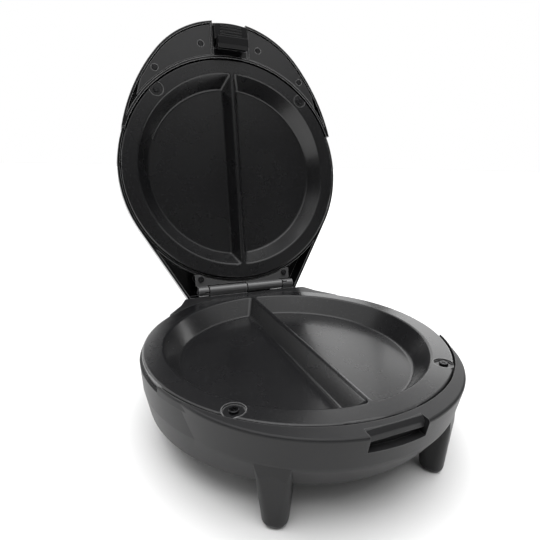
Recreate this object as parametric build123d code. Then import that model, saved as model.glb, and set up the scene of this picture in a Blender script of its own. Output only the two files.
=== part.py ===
from build123d import *
import os
from math import atan2, cos, degrees, hypot, radians, sin, sqrt

# Electric omelette maker: a round base on four legs and a hinged lid, each with a
# cooking plate of two half-moon wells. All sizes are millimetres. The pieces are drawn
# with the lid closed, the middle of the base over the origin and the floor at z = 0.
# The front, with the latch, faces -Y. The lid is then swung open to its stop.

# ---- driving dimensions ----
plate_radius = 108.0          # outer edge of either cooking plate
lower_plate_z = 59.3          # top of the lower plate's flange above the floor
plate_gap = 4.1               # between the two flanges with the lid closed
open_angle = 101.6            # degrees from closed to the lid's stop
wall = 2.4                    # moulded wall of the housings
clearance = 0.4               # between moulded covers and what they sit in

# ---- cooking plates ----
flange_thickness = 2.6
skirt_depth = 4.6             # turned-down edge of the flange
skirt_wall = 2.5
flange_edge_round = 1.3
well_depth = 14.3
well_lip_radius = 94.3
well_floor_radius = 83.5
divider_half_top = 1.5
divider_half_floor = 7.5
plate_wall = 2.2
well_corner_round = 3.0
well_floor_round = 3.0
well_lip_round = 2.0
screw_pocket_radius = 6.3
screw_pocket_depth = 1.2
hook_half = 8.0               # rear hook under the flange, in place of a third screw
hook_front_y = 99.0
hook_rear_y = 104.0
hook_foot_low = -9.2
hook_foot_high = -7.4

# ---- base housing ----
bottom_z = 23.7
bottom_radius = 104.8
crease_z = 39.3
crease_radius = 108.3
ledge_z = lower_plate_z - skirt_depth
ledge_radius = 109.6
front_bottom_radius = 104.5   # the front bulge is a circle set more forward as it rises
front_bottom_y = -0.6
front_crease_radius = 99.9
front_crease_y = -15.9
front_top_radius = 102.1
front_top_y = -18.25
rim_radius = 110.2            # side stretch of the front shelf, up to its end step
recess_radius = 109.0
front_half_angle = 70.0       # the front shelf spans this much each side of the front
web_inner_radius = 98.0
crease_round = 2.5
crease_blend = 1.6            # height each side of the crease that is rounded at the front
shelf_edge_round = 1.4

# ---- legs and feet ----
leg_x = 52.4
leg_y = 89.3
leg_end_z = 0.8
leg_top_z = crease_z + 3.0
leg_sections = ((6.9, 6.4, leg_end_z), (8.85, 4.3, bottom_z), (10.3, 2.0, leg_top_z))   # half, corner, z
leg_hole_radius = 11.3
leg_foot_round = 3.0
foot_pad_radius = 3.8
leg_wall = 2.2
leg_boss_z = 34.0
pad_stem_radius = 2.9
pad_stem_top = 4.2

# ---- latch notch in the base and its strike ----
notch_half_width = 17.5
notch_floor_z = 49.4
notch_back_radius = 113.3
strike_half_width = 17.2
strike_low = 53.9
strike_tail = 1.6             # thickness of the strike's tail in the housing's wall
strike_nose_z = 56.9
strike_top = lower_plate_z - 0.05
strike_front_y = -115.3
strike_slope_y = -113.5
strike_back_y = -109.5

# ---- hinge ----
hinge_y = 117.7
hinge_z = 62.3
pin_radius = 2.0
pin_bore_radius = 2.05
knuckle_radius = 4.8
knuckle_gap = 1.5
knuckle_edges = (-47.8, -37.0, 1.1, 38.7, 50.6)   # lid, base, lid, base from the left
knuckle_slit = 1.6            # rolling gap left in the two end knuckles
slit_length = 5.0
leaf_thickness = 1.2
block_rear_y = 111.6
block_low = 27.0
block_top = lower_plate_z - 0.6
block_front_half = 79.9
block_front_y = 75.6
block_corner_half = 67.0
block_corner_y = 95.6
block_rear_half = 60.5
stop_half_width = 28.0
stop_rear_y = 127.0
stop_thickness = 4.0

# ---- lid shell ----
upper_plate_z = lower_plate_z + plate_gap
lid_outer_radius = 111.2
lid_inner_radius = 108.9
lid_rim_z = upper_plate_z + 3.2
lid_front_rim_z = upper_plate_z + 0.9
lid_crease_z = 84.0
lid_shoulder_z = 96.0
lid_shoulder_radius = 105.0
lid_top_z = 104.0
lid_wall = 2.3
tail_angle = 30.3             # degrees from straight back, of the tail's sides
tail_rear_y = 125.8
tail_top_z = 88.0
tail_edge_round = 5.0

# ---- handle ----
handle_front_radius = 90.7
handle_front_y = -54.5
handle_front_angle = 51.8     # half span of the front arc in degrees
handle_tip_x = 105.8
handle_tip_y = -36.7
handle_low = upper_plate_z - 1.0
handle_top = 80.0
handle_top_round = 5.0
cover_inner_radius = 111.7
cover_tail_radius = 92.6      # circle that cuts each cover's tail to its point
cover_tail_y = -49.7
cover_corner_round = 0.8
cover_thickness = 2.0
cover_edge_chamfer = 0.7
cover_screw_places = ((29.2, -120.4), (73.5, -92.8))
bay_half_width = 17.0
bay_rib = 1.6

# ---- latch ----
latch_pin_y = -124.0
latch_pin_z = upper_plate_z + 6.1
latch_pin_radius = 1.0
latch_bore_radius = 1.05
latch_hub_radius = 3.0
tab_half_width = 16.3
tab_face_radius = 85.3        # the tab's front leans out along a cone round the handle's middle
tab_top_radius = 91.1
tab_face_z = upper_plate_z - 6.4
tab_top_z = upper_plate_z + 4.6
tab_top_y = -132.0
tab_hollow_y = -138.4
tab_wall = 2.4
rib_first_y = -137.0
rib_spacing = 2.8
hook_half_width = 15.0
hook_outer_y = -124.4
hook_inner_y = -118.4
hook_low = 50.6
barb_tip_y = -113.7
barb_top = strike_low - 0.6
spring_radius = 2.6
spring_wire = 0.35
spring_turns = 5
spring_y = -136.0
spring_seat_z = upper_plate_z + 2.4

# ---- fasteners ----
screw_shank = 1.5
screw_pilot = 1.55
screw_head = 2.8
screw_head_height = 1.5
screw_slot = 0.7
screw_slot_depth = 0.8
lower_screw_radius = 102.0
lower_screw_angle = 43.4
upper_screw_radius = 103.5
upper_screw_angle = 45.0
boss_radius = 4.0
cover_boss_radius = 3.6
base_boss_circle = 98.5
base_boss_angles = (-108.0, -62.0, 62.0, 108.0)
lid_bracket_screw = (43.2, 106.2)
hinge_screw_xs = (-44.5, -35.5, 35.5, 44.5)
hinge_screw_z = 48.0

# ---- heating parts ----
element_radius = 62.0
element_tube = 3.25
element_half_gap = 28.0       # degrees each side of the back left open
terminal_radius = 1.2
reflector_radius = 88.0
reflector_thickness = 0.8
wire_radius = 1.1
gland_x = 40.0
gland_z = 35.0
gland_radius = 4.2
gland_flange_radius = 6.4
gland_bore = 3.4

UP = (Align.CENTER, Align.CENTER, Align.MIN)


# ---- shape helpers ----
def rod(radius, low, high, x=0.0, y=0.0):
    return Pos(x, y, low) * Cylinder(radius, high - low, align=UP)


def tube(outer, inner, low, high, x=0.0, y=0.0):
    return rod(outer, low, high, x, y) - rod(inner, low - 1, high + 1, x, y)


def cross_rod(radius, left, right, y, z):
    """Rod along X from left to right."""
    return Pos(left, y, z) * Rot(0, 90, 0) * Cylinder(radius, right - left, align=UP)


def block(x0, x1, y0, y1, z0, z1):
    return Pos((x0 + x1) / 2, (y0 + y1) / 2, z0) * Box(x1 - x0, y1 - y0, z1 - z0, align=UP)


def disc_at(radius, y, z):
    return Pos(0, y, z) * Circle(radius)


def turned(points):
    """Solid of revolution about Z of a closed outline given as (radius, z)."""
    return revolve(Plane.XZ * make_face(Polyline(*points, close=True)), Axis.Z)


def plate_prism(points, low, high):
    """Upright prism on a closed outline given as (x, y)."""
    return Pos(0, 0, low) * extrude(make_face(Polyline(*points, close=True)), high - low)


def side_prism(points, half_width):
    """Prism along X on a closed outline given as (y, z)."""
    face = Plane.YZ * make_face(Polyline(*points, close=True))
    return extrude(face, half_width, both=True)


def on_circle(radius, angle):
    """Point at an angle from the front, positive towards +X."""
    return radius * sin(radians(angle)), -radius * cos(radians(angle))


def front_wedge(low, high, half_angle=front_half_angle):
    reach = 260.0
    x, y = on_circle(reach, half_angle)
    return plate_prism([(0, 0), (x, y), (x, -reach), (-x, -reach), (-x, y)], low, high)


def both_sides(shape):
    return [shape, mirror(shape, about=Plane.YZ)]


def one_solid(shape):
    """The single largest solid of a shape, without the wrapper."""
    return max(shape.solids(), key=lambda solid: solid.volume)


def group(shapes):
    return Compound([one_solid(shape) for shape in shapes])


def screw(length):
    """Cross-head screw along -Z, the head's under-face at z = 0."""
    body = rod(screw_shank, -length, 0) + rod(screw_head, 0, screw_head_height)
    edge = body.edges().filter_by(GeomType.CIRCLE).sort_by(Axis.Z)[-1]
    body = fillet(edge, 0.6)
    low = screw_head_height - screw_slot_depth
    arm = screw_head * 0.62
    for angle in (0, 90):
        slot = block(-arm, arm, -screw_slot / 2, screw_slot / 2, low, screw_head_height + 1)
        body -= Rot(0, 0, angle) * slot
    return body


# ---- cooking plates ----
def half_moon(radius, gap, z):
    reach = sqrt(radius * radius - gap * gap)
    arc = ThreePointArc((gap, reach), (radius, 0), (gap, -reach))
    chord = Line((gap, -reach), (gap, reach))
    return Pos(0, 0, z) * make_face([arc, chord])


def well_body(grow):
    """One half-moon well as a solid, grown by the plate's wall where asked."""
    top = half_moon(well_lip_radius + grow, divider_half_top - grow * 0.8, 0)
    floor = half_moon(well_floor_radius + grow, divider_half_floor - grow, -well_depth - grow)
    return loft([top, floor], ruled=True)


def is_inner(edge):
    return hypot(edge.center().X, edge.center().Y) < well_lip_radius + 2


def flat_edges_at(shape, z):
    """Edges that lie in the level z, apart from those of the flange's outline."""
    return [e for e in shape.edges() if is_inner(e) and abs(e.center().Z - z) < 0.01
            and e.bounding_box().size.Z < 0.01]


def cooking_plate(screw_radius, screw_angle):
    """Plate with the flange's face at z = 0 and the wells below it."""
    plate = rod(plate_radius, -flange_thickness, 0)
    for well in both_sides(well_body(plate_wall)):
        plate += well & rod(plate_radius, -40, -0.5)
    for well in both_sides(well_body(0)):
        plate -= well
    mitres = [e for e in plate.edges() if is_inner(e) and e.bounding_box().size.Z > 10
              and abs(e.bounding_box().max.Z) < 0.02]
    plate = fillet(mitres, well_corner_round)
    plate = fillet(flat_edges_at(plate, -well_depth), well_floor_round)
    plate = fillet(flat_edges_at(plate, 0), well_lip_round)
    plate += tube(plate_radius, plate_radius - skirt_wall, -skirt_depth, -flange_thickness + 0.2)
    rim = [e for e in plate.edges().filter_by(GeomType.CIRCLE)
           if abs(e.center().Z) < 0.01 and e.radius > plate_radius - 1]
    plate = fillet(rim, flange_edge_round)
    plate += block(-hook_half, hook_half, hook_front_y, hook_front_y + 2, hook_foot_low, -1)
    plate += block(-hook_half, hook_half, hook_front_y, hook_rear_y, hook_foot_low, hook_foot_high)
    for side in (-1, 1):
        x, y = on_circle(screw_radius, side * screw_angle)
        plate += rod(screw_pocket_radius, -flange_thickness - 1, -1, x, y) & rod(plate_radius, -9, 0)
        plate -= rod(screw_pocket_radius, -screw_pocket_depth, 1, x, y)
        plate -= rod(screw_pilot, -20, 1, x, y)
    return one_solid(plate)


def plate_screws(screw_radius, screw_angle):
    screws = []
    for side in (-1, 1):
        x, y = on_circle(screw_radius, side * screw_angle)
        screws.append(Pos(x, y, -screw_pocket_depth) * screw(9.0))
    return screws


def turn_over(shape, z):
    """A piece drawn face up at z = 0, turned face down with its face at z."""
    return Pos(0, 0, z) * mirror(shape, about=Plane.XY)


# ---- heating parts, drawn below a plate whose face is at z = 0 ----
def heating_element():
    """Tubular element in a horseshoe, its two cold ends turned away from the plate."""
    z = -well_depth - plate_wall - element_tube - 0.1
    start = Pos(0, 0, z) * Rot(0, 0, 90 + element_half_gap)
    ring_face = start * (Plane.XZ * (Pos(element_radius, 0) * Circle(element_tube)))
    ring = revolve(ring_face, Axis.Z, 360 - 2 * element_half_gap)
    for side in (-1, 1):
        x, y = on_circle(element_radius, 180 - side * element_half_gap)
        ring += Pos(x, y, z) * Sphere(element_tube)
        ring += rod(element_tube, z - 5.0, z, x, y)
        ring += rod(terminal_radius, z - 8.0, z, x, y)
    return one_solid(ring)


def element_clips():
    """Three saddles that press the element against the plate."""
    clips = []
    z = -well_depth - plate_wall
    for angle in (-75, 0, 75):
        x, y = on_circle(element_radius, angle)
        low = z - 2 * element_tube - 1.4
        saddle = block(-4, 4, -5.2, 5.2, low, low + 1.0)
        for side in (-1, 1):
            near, far = sorted((side * 4.0, side * 5.2))
            saddle += block(-4, 4, near, far, low, z)
        clips.append(Pos(x, y, 0) * Rot(0, 0, angle) * saddle)
    return clips


def reflector():
    """Shallow pressed tray that throws the heat back at the plate."""
    low = -well_depth - plate_wall - 13.5
    tray = turned([(0, low), (reflector_radius, low), (reflector_radius + 5, low + 8),
                   (reflector_radius + 5 - reflector_thickness, low + 8),
                   (reflector_radius - reflector_thickness, low + reflector_thickness),
                   (0, low + reflector_thickness)])
    return one_solid(tray - rod(3.0, low - 1, low + 3))


# ---- base housing ----
def side_body(inset, low):
    """The round part of the base up to the ledge, drawn in by inset."""
    return turned([(0, low), (bottom_radius - inset, low), (crease_radius - inset, crease_z),
                   (ledge_radius - inset, ledge_z), (0, ledge_z)])


def between(first, second, share):
    return [a + share * (b - a) for a, b in zip(first, second)]


def front_circle(z):
    """Radius and place along Y of the front bulge's outline at a level."""
    bottom = (front_bottom_radius, front_bottom_y)
    crease = (front_crease_radius, front_crease_y)
    top = (front_top_radius, front_top_y)
    if z <= crease_z:
        return between(bottom, crease, (z - bottom_z) / (crease_z - bottom_z))
    return between(crease, top, (z - crease_z) / (lower_plate_z - crease_z))


def rounded_circle(z):
    """The same outline with the crease rounded over."""
    start = crease_z - crease_blend
    share = (z - start) / (2 * crease_blend)
    rise = between(front_circle(start), front_circle(crease_z), share)
    fall = between(front_circle(crease_z), front_circle(crease_z + crease_blend), share)
    return between(rise, fall, share)


def front_disc(circle, inset, z):
    radius, y = circle
    return disc_at(radius - inset, y, z)


def front_body(inset, low, top):
    """The front bulge as a solid between two levels, drawn in by inset."""
    levels = [crease_z + crease_blend * step / 2 for step in range(-2, 3)]
    crease = loft([front_disc(rounded_circle(z), inset, z) for z in levels])
    lower = loft([front_disc(front_circle(z), inset, z) for z in (low, levels[0])], ruled=True)
    upper = loft([front_disc(front_circle(z), inset, z) for z in (levels[-1], top)], ruled=True)
    return lower + crease + upper


def front_behind():
    """Space above the ledge behind the front shelf's two end steps."""
    keep = front_wedge(ledge_z, lower_plate_z + 5)
    return block(-150, 150, -150, 150, ledge_z, lower_plate_z + 5) - keep


def base_outside():
    sides = side_body(0, bottom_z)
    crease = [e for e in sides.edges().filter_by(GeomType.CIRCLE) if abs(e.center().Z - crease_z) < 0.01]
    sides = fillet(crease, crease_round)
    front = front_body(0, bottom_z, lower_plate_z)
    rim_edge = [e for e in front.edges() if abs(e.center().Z - lower_plate_z) < 0.01]
    front = fillet(rim_edge, shelf_edge_round)
    rim = rod(rim_radius, ledge_z - 0.5, lower_plate_z)
    rim = fillet(rim.edges().filter_by(GeomType.CIRCLE).sort_by(Axis.Z)[-1], shelf_edge_round)
    rim &= front_wedge(ledge_z - 0.5, lower_plate_z)
    return sides + (front - front_behind()) + rim


def hinge_block_outline(inset):
    """Outline of the block that carries the hinge, as (x, y)."""
    half = [(block_front_half - inset * 1.2, block_front_y),
            (block_corner_half - inset, block_corner_y - inset * 0.4),
            (block_rear_half - inset, block_rear_y - inset)]
    left = [(-x, y) for x, y in reversed(half)]
    return [(-70 + inset, 50), (70 - inset, 50)] + half + left


def hinge_block():
    body = plate_prism(hinge_block_outline(0), block_low, block_top)
    corners = [e for e in body.edges().filter_by(Axis.Z) if e.center().Y > 90]
    body = fillet(corners, 3.0)
    rear_low = [e for e in body.edges().group_by(Axis.Z)[0] if e.center().Y > 90]
    return chamfer(rear_low, 2.0)


def stop_shelf():
    """Sloping shelf behind the hinge that the open lid's tail rests on."""
    fall = sin(radians(open_angle - 90))
    top = hinge_z - 9.15
    rear_top = top - (stop_rear_y - hinge_y - 2) * fall
    return side_prism([(block_rear_y - 1, top), (hinge_y + 2, top), (stop_rear_y, rear_top),
                       (stop_rear_y, rear_top - stop_thickness), (block_rear_y, top - 12),
                       (block_rear_y - 1, top - 12)], stop_half_width)


def leg_places():
    return [(side * leg_x, end * leg_y) for end in (-1, 1) for side in (-1, 1)]


def make_leg():
    """One leg about its own axis: round at the foot and squared off towards the top."""
    sections = [Pos(0, 0, z) * RectangleRounded(2 * half, 2 * half, corner)
                for half, corner, z in leg_sections]
    leg = loft(sections, ruled=True)
    return fillet(leg.edges().group_by(Axis.Z)[0], leg_foot_round)


def placed_leg(leg, x, y):
    """A leg turned to face outwards, a front one kept flush with the crease."""
    middle = front_crease_y if y < 0 else 0.0
    placed = Pos(x, y, 0) * Rot(0, 0, degrees(atan2(y - middle, x))) * leg
    if y < 0:
        placed &= rod(front_crease_radius - 0.05, 0, leg_top_z + 1, 0, front_crease_y)
    return placed


def leg_hollow(top):
    foot, bottom, _ = [half - leg_wall for half, _, _ in leg_sections]
    return turned([(0, 6.5), (foot, 6.5), (bottom, bottom_z), (bottom + 0.8, top), (0, top)])


def notch_space(grow):
    """The latch notch, open to the top and the front, or the walls round it."""
    half = notch_half_width + grow
    space = block(-half, half, -140, -90, notch_floor_z - grow, lower_plate_z + (0 if grow else 5))
    return space - rod(notch_back_radius - grow, 0, 80)


def plate_bosses(radius, angle, low, high):
    """Posts for a plate's two screws, kept clear of the plate's skirt."""
    posts = []
    inside_skirt = rod(plate_radius - skirt_wall - 0.3, low, high)
    for side in (-1, 1):
        x, y = on_circle(radius, side * angle)
        posts.append(rod(boss_radius, low, high, x, y) & inside_skirt)
    return posts


def make_base_housing():
    outside = base_outside()
    web_low = ledge_z - wall
    body = outside + hinge_block() + stop_shelf()
    leg = make_leg()
    legs = [placed_leg(leg, x, y) for x, y in leg_places()]
    for placed in legs:
        body += placed
    body -= side_body(wall, bottom_z - 1) & rod(150, 0, web_low)
    body -= front_body(wall, bottom_z - 1, web_low)
    shelf_space = front_body(wall, bottom_z - 1, lower_plate_z - wall)
    body -= (shelf_space - rod(notch_back_radius + 0.2, 0, 80)) & front_wedge(40, 80, 52)
    inner_block = plate_prism(hinge_block_outline(wall), block_low + wall, web_low)
    body -= inner_block
    for placed, (x, y) in zip(legs, leg_places()):
        body += placed & rod(150, bottom_z - 0.1, leg_boss_z)
        body -= Pos(x, y, 0) * leg_hollow(leg_boss_z + 0.5)
        body -= rod(pad_stem_radius + 0.1, 0, 10, x, y)
    body += notch_space(wall) & outside
    for angle in base_boss_angles:
        x, y = on_circle(base_boss_circle, angle)
        body += rod(cover_boss_radius, bottom_z + wall + 0.1, web_low + 1, x, y)
        body -= rod(screw_pilot, bottom_z, bottom_z + 16, x, y)
    body -= rod(recess_radius, ledge_z, 90)
    body -= rod(web_inner_radius, web_low - 2, 90)
    flange_under = lower_plate_z - flange_thickness - 1
    for post in plate_bosses(lower_screw_radius, lower_screw_angle, web_low, flange_under):
        body += post
    for side in (-1, 1):
        x, y = on_circle(lower_screw_radius, side * lower_screw_angle)
        body -= rod(screw_pilot, web_low - 8, 80, x, y)
    body -= block(-hook_half - 1, hook_half + 1, 90, hook_rear_y - 2, web_low - 1, ledge_z + 1)
    body -= notch_space(0)
    body -= block(-strike_half_width - 0.1, strike_half_width + 0.1, -125, strike_back_y,
                  strike_low - 0.05, strike_low + strike_tail + 0.05)
    for x in hinge_screw_xs:
        body -= Pos(x, 0, hinge_screw_z) * Rot(-90, 0, 0) * rod(screw_pilot, 100, 130)
    body -= Pos(gland_x, 0, gland_z) * Rot(-90, 0, 0) * rod(gland_radius + 0.1, 100, 130)
    return one_solid(body)


def make_bottom_cover():
    cover = rod(bottom_radius - wall - clearance, bottom_z, bottom_z + wall)
    for x, y in leg_places():
        cover -= rod(leg_hole_radius, 0, 40, x, y)
    for angle in base_boss_angles:
        x, y = on_circle(base_boss_circle, angle)
        cover -= rod(screw_pilot, 0, 40, x, y)
    for row in range(-4, 5):
        for side in (-1, 1):
            near, far = sorted((side * 6, side * 42))
            cover -= block(near, far, row * 9 - 1.5, row * 9 + 1.5, 0, 40)
    return one_solid(cover)


def make_bottom_cover_screws():
    screws = []
    for angle in base_boss_angles:
        x, y = on_circle(base_boss_circle, angle)
        screws.append(Pos(x, y, bottom_z) * Rot(180, 0, 0) * screw(11))
    return screws


def make_foot_pad():
    pad = rod(foot_pad_radius, 0, leg_end_z) + rod(pad_stem_radius, 0, pad_stem_top)
    return fillet(pad.edges().filter_by(GeomType.CIRCLE).sort_by(Axis.Z)[0], 0.4)


def make_latch_strike():
    """Rounded nose on the notch's back wall; the latch's barb snaps in under it."""
    front, top = strike_front_y, strike_top
    nose = side_prism([(-100, top), (strike_slope_y, top), (front, strike_nose_z), (front, strike_low),
                       (-100, strike_low)], strike_half_width)
    along = nose.edges().filter_by(Axis.X)
    nose = fillet([e for e in along if e.center().Y < front + 1 and e.center().Z > strike_low + 1], 1.6)
    nose -= rod(notch_back_radius + 0.05, 0, 80)
    tail = block(-strike_half_width, strike_half_width, -113, strike_back_y,
                 strike_low, strike_low + strike_tail)
    return one_solid(nose + tail)


def make_cord_gland():
    """Rubber bush in the rear wall that the mains lead would pass through."""
    inner_face = block_rear_y - wall
    bush = rod(gland_radius, inner_face - 3, block_rear_y)
    bush += rod(gland_flange_radius, block_rear_y, block_rear_y + 2.5)
    bush += rod(gland_radius + 1.2, inner_face - 3, inner_face - 0.2)
    bush = fillet(bush.edges().sort_by(Axis.Z)[-1], 1.0)
    bush -= rod(gland_bore, 90, 130)
    return Pos(gland_x, 0, gland_z) * Rot(-90, 0, 0) * bush


# ---- parts in the base that heat and connect ----
def wire(points, start, end):
    """Insulated wire through points, with its directions at the two ends."""
    path = Spline(*points, tangents=[start, end])
    section = Plane(origin=path @ 0, z_dir=path % 0) * Circle(wire_radius)
    return one_solid(sweep(section, path=path))


def heating_level():
    """Underside of the wells below the plate's face."""
    return -well_depth - plate_wall


def element_pin(side):
    """Side and front of the place beside an element's pin where its wire starts."""
    x, y = on_circle(element_radius, 180 - element_half_gap)
    return side * x, y + terminal_radius + 0.1


def make_thermostat():
    top = heating_level()
    body = rod(8.0, top - 6, top, -38, 0) + rod(5.5, top - 9, top - 5.5, -38, 0)
    for side in (-1, 1):
        body += block(-38 + side * 4 - 1.5, -38 + side * 4 + 1.5, 5, 11, top - 8.4, top - 7.6)
    return one_solid(body)


def make_thermal_fuse():
    z = heating_level() - 2.4
    return one_solid(cross_rod(2.2, 22, 40, -8, z) + cross_rod(0.8, 18, 44, -8, z))


def make_terminal_block():
    body = block(-18, 18, 98, 106.5, 33, 41)
    for x in (-12, 0, 12):
        body -= rod(2.0, 39.5, 45, x, 102.2)
        body += rod(1.7, 38, 40.6, x, 102.2)
    return one_solid(body)


def make_base_wiring():
    """Wires from the element, thermostat and fuse to the terminal block."""
    rearward, forward = (0, 1, 0), (0, -1, 0)
    wires = []
    for side in (-1, 1):
        x, y = element_pin(side)
        points = [(x, y, 32.3), (x, 76, 32.3), (side * 24, 89, 39.5), (side * 12, 97.9, 38.5)]
        wires.append(wire(points, rearward, rearward))
    fuse_z = lower_plate_z + heating_level() - 2.4
    blade_z = lower_plate_z + heating_level() - 8.0
    from_thermostat = [(-42, 11.1, blade_z), (-40, 28, 34), (-17, 60, 33.6), (-8, 88, 38.4),
                       (-4, 97.9, 38.5)]
    wires.append(wire(from_thermostat, rearward, rearward))
    link = [(17.9, -8, fuse_z), (-6, 8, 37), (-27, 20, 35), (-34, 17, blade_z), (-34, 11.1, blade_z)]
    wires.append(wire(link, (-1, 0, 0), forward))
    from_fuse = [(44.1, -8, fuse_z), (47, 3, 38.5), (35, 38, 35), (15, 66, 33.8), (5, 88, 38.4),
                 (4, 97.9, 38.5)]
    wires.append(wire(from_fuse, (1, 0, 0), rearward))
    return wires


# ---- hinge ----
def knuckle_spans(first):
    """Left and right ends of every other knuckle, starting from first."""
    spans = []
    for index in range(first, len(knuckle_edges) - 1, 2):
        left = knuckle_edges[index] + knuckle_gap / 2
        spans.append((left, knuckle_edges[index + 1] - knuckle_gap / 2))
    return spans


def slit(left, right, angle):
    """Cutter for the gap in a rolled knuckle, at an angle up from straight ahead."""
    cut = block(left, right, -knuckle_radius - 1, 0, -knuckle_slit / 2, knuckle_slit / 2)
    return Pos(0, hinge_y, hinge_z) * Rot(-angle, 0, 0) * cut


def make_base_hinge_bracket():
    rear = block_rear_y + leaf_thickness
    low = hinge_screw_z - 4.5
    left, right = knuckle_edges[1] - 11, knuckle_edges[4] - 0.3
    leaf = block(left, right, block_rear_y, rear, 54.6, hinge_z - 5.4)
    for side in (-1, 1):
        near, far = sorted((side * 30.5, side * 49.5))
        leaf += block(near, far, block_rear_y, rear, low, 55)
    for x0, x1 in knuckle_spans(1):
        leaf += block(x0, x1, block_rear_y, rear, 54.6, hinge_z - knuckle_radius + leaf_thickness)
        leaf += block(x0, x1, block_rear_y, hinge_y, hinge_z - knuckle_radius,
                      hinge_z - knuckle_radius + leaf_thickness)
        leaf += cross_rod(knuckle_radius, x0, x1, hinge_y, hinge_z)
    leaf -= cross_rod(pin_bore_radius, -80, 80, hinge_y, hinge_z)
    leaf -= slit(knuckle_edges[3], knuckle_edges[3] + slit_length, 45)
    for x in hinge_screw_xs:
        leaf -= Pos(x, 0, hinge_screw_z) * Rot(-90, 0, 0) * rod(screw_pilot, 100, 130)
    return one_solid(leaf)


def make_base_hinge_screws():
    rear = block_rear_y + leaf_thickness
    return [Pos(x, rear, hinge_screw_z) * Rot(-90, 0, 0) * screw(8) for x in hinge_screw_xs]


def make_hinge_pin():
    pin = cross_rod(pin_radius, knuckle_edges[0] - 0.8, knuckle_edges[4] + 0.8, hinge_y, hinge_z)
    return chamfer(pin.edges().filter_by(GeomType.CIRCLE), 0.4)


def make_lid_hinge_bracket():
    low = hinge_z + 2.6
    high = low + leaf_thickness
    leaf = block(-48.6, 48.6, 101.5, hinge_y - knuckle_radius - 0.7, low, high)
    for x0, x1 in knuckle_spans(0):
        leaf += block(x0, x1, 108, hinge_y - 2.4, low, high)
    leaf -= rod(lid_outer_radius + 0.4, 0, 200)
    for x0, x1 in knuckle_spans(0):
        leaf += cross_rod(knuckle_radius, x0, x1, hinge_y, hinge_z)
    leaf -= cross_rod(pin_bore_radius, -80, 80, hinge_y, hinge_z)
    leaf -= slit(knuckle_edges[1] - slit_length, knuckle_edges[1], -open_angle)
    for side in (-1, 1):
        leaf -= rod(screw_pilot, 0, 200, side * lid_bracket_screw[0], lid_bracket_screw[1])
    return one_solid(leaf)


def make_lid_hinge_screws():
    face = hinge_z + 2.6
    return [Pos(side * lid_bracket_screw[0], lid_bracket_screw[1], face) * Rot(180, 0, 0) * screw(8)
            for side in (-1, 1)]


# ---- lid shell ----
def dome_point(radius, inset):
    """Height of the lid's domed top at a radius."""
    rise = lid_top_z - lid_shoulder_z
    sphere = (lid_shoulder_radius ** 2 + rise ** 2) / (2 * rise)
    return lid_top_z - inset - radius * radius / (2 * sphere)


def lid_body(inset, low):
    outer = lid_outer_radius - inset
    shoulder = lid_shoulder_radius - inset
    rise_z = dome_point(shoulder, inset)
    side = Polyline((0, low), (outer, low), (outer, lid_crease_z), (shoulder, rise_z))
    middle = shoulder / 2
    top = ThreePointArc((shoulder, rise_z), (middle, dome_point(middle, inset)), (0, lid_top_z - inset))
    axis_line = Line((0, lid_top_z - inset), (0, low))
    body = revolve(Plane.XZ * make_face(side.edges() + [top, axis_line]), Axis.Z)
    rounded = [e for e in body.edges().filter_by(GeomType.CIRCLE)
               if lid_crease_z - 0.1 < e.center().Z < lid_top_z and e.radius > 90]
    return fillet(rounded, 5.0)


def tail_outline(inset):
    a = radians(tail_angle)
    reach = lid_outer_radius - inset
    rear = tail_rear_y - inset
    corner = (reach - rear * sin(a)) / cos(a)
    touch = (reach * cos(a), reach * sin(a))
    return [touch, (corner, rear), (-corner, rear), (-touch[0], touch[1])]


def make_tail():
    tail = plate_prism(tail_outline(0), lid_rim_z, tail_top_z)
    corners = [e for e in tail.edges().filter_by(Axis.Z) if e.center().Y > tail_rear_y - 2]
    tail = fillet(corners, 3.0)
    top = [e for e in tail.edges().group_by(Axis.Z)[-1] if e.center().Y > 60]
    return fillet(top, tail_edge_round)


def handle_face(inset):
    radius = handle_front_radius - inset
    a = radians(handle_front_angle)
    joint = (radius * sin(a), handle_front_y - radius * cos(a))
    tip = (handle_tip_x - inset, handle_tip_y)
    front = ThreePointArc((-joint[0], joint[1]), (0, handle_front_y - radius), joint)
    right = TangentArc(joint, tip, tangent=(cos(a), sin(a)))
    left = TangentArc((-joint[0], joint[1]), (-tip[0], tip[1]), tangent=(-cos(a), sin(a)))
    back = Line(tip, (-tip[0], tip[1]))
    return make_face([front, right, back, left])


def handle_prism(inset, low, high):
    return Pos(0, 0, low) * extrude(handle_face(inset), high - low)


def make_handle():
    handle = handle_prism(0, handle_low, handle_top)
    top = [e for e in handle.edges().group_by(Axis.Z)[-1] if e.center().Y < handle_tip_y - 5]
    return fillet(top, handle_top_round)


def lamp_places():
    return [(side * 9.0, -96.0) for side in (-1, 1)]


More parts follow.
